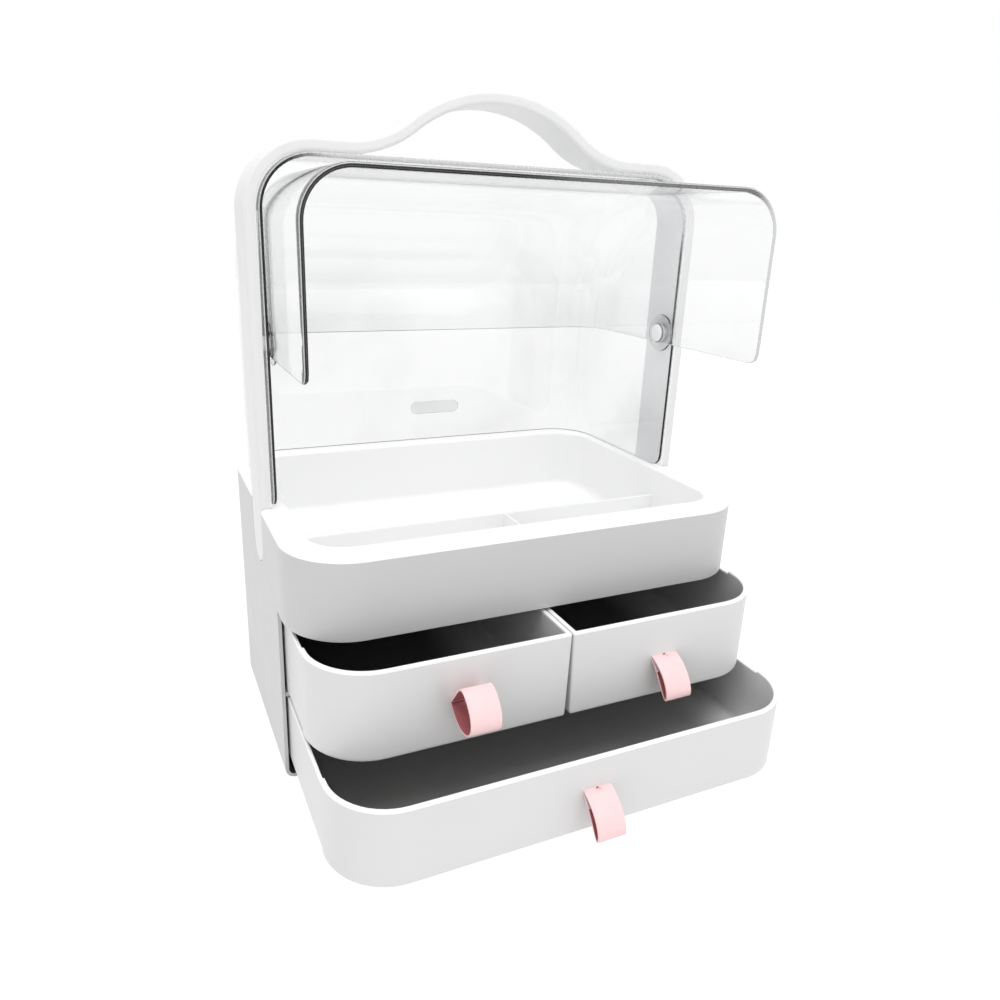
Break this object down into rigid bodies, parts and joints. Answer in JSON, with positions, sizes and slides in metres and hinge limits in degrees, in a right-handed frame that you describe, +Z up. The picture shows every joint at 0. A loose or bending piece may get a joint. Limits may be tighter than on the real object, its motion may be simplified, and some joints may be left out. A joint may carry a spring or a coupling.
{
  "type": "makeup organizer",
  "caption": "Dustproof vanity organizer with a carrying frame, a swinging clear cover, a divided top tray and sliding drawers with strap pulls.",
  "frame": {"origin": "middle of the base plate's underside", "axes": "+Z up, -Y towards the drawers' fronts, +X to the right seen from the front"},
  "size_m": [0.28, 0.2892, 0.3775],
  "materials": {
    "white_plastic": "satin moulded",
    "tray_plastic": "satin moulded",
    "drawer_plastic": "satin moulded",
    "clear_plastic": "clear polished",
    "pink_strap": "soft matte",
    "screw_steel": "zinc plated",
    "foot_rubber": "matte"
  },
  "bodies": {
    "cabinet": {"cabinet_shell": "white_plastic", "base_plate": "white_plastic", "mid_shelf": "white_plastic", "centre_partition": "white_plastic", "top_tray": "tray_plastic", "handle_frame": "white_plastic", "frame_screws": "screw_steel", "rear_cover": "clear_plastic", "pivot_pin_left": "white_plastic", "pivot_pin_right": "white_plastic", "pivot_cap_left": "white_plastic", "pivot_cap_right": "white_plastic", "rubber_feet": "foot_rubber"},
    "front_cover": {"front_cover": "clear_plastic"},
    "drawer_upper_left": {"drawer_upper_left": "drawer_plastic", "pull_strap_left": "pink_strap", "strap_clip_left": "white_plastic"},
    "drawer_upper_right": {"drawer_upper_right": "drawer_plastic", "pull_strap_right": "pink_strap", "strap_clip_right": "white_plastic"},
    "drawer_lower": {"drawer_lower": "drawer_plastic", "pull_strap_lower": "pink_strap", "strap_clip_lower": "white_plastic"}
  },
  "joints": [
    {"name": "front_cover_hinge", "type": "hinge", "parent": "cabinet", "child": "front_cover", "pos_m": [0, -0.01, 0.245], "axis": [1, 0, 0], "range_deg": [0, 90]},
    {"name": "upper_left_slide", "type": "slide", "parent": "cabinet", "child": "drawer_upper_left", "axis": [0, -1, 0], "range_m": [-0.028, 0.082]},
    {"name": "upper_right_slide", "type": "slide", "parent": "cabinet", "child": "drawer_upper_right", "axis": [0, -1, 0], "range_m": [-0.028, 0.082]},
    {"name": "lower_slide", "type": "slide", "parent": "cabinet", "child": "drawer_lower", "axis": [0, -1, 0], "range_m": [-0.064, 0.046]}
  ]
}
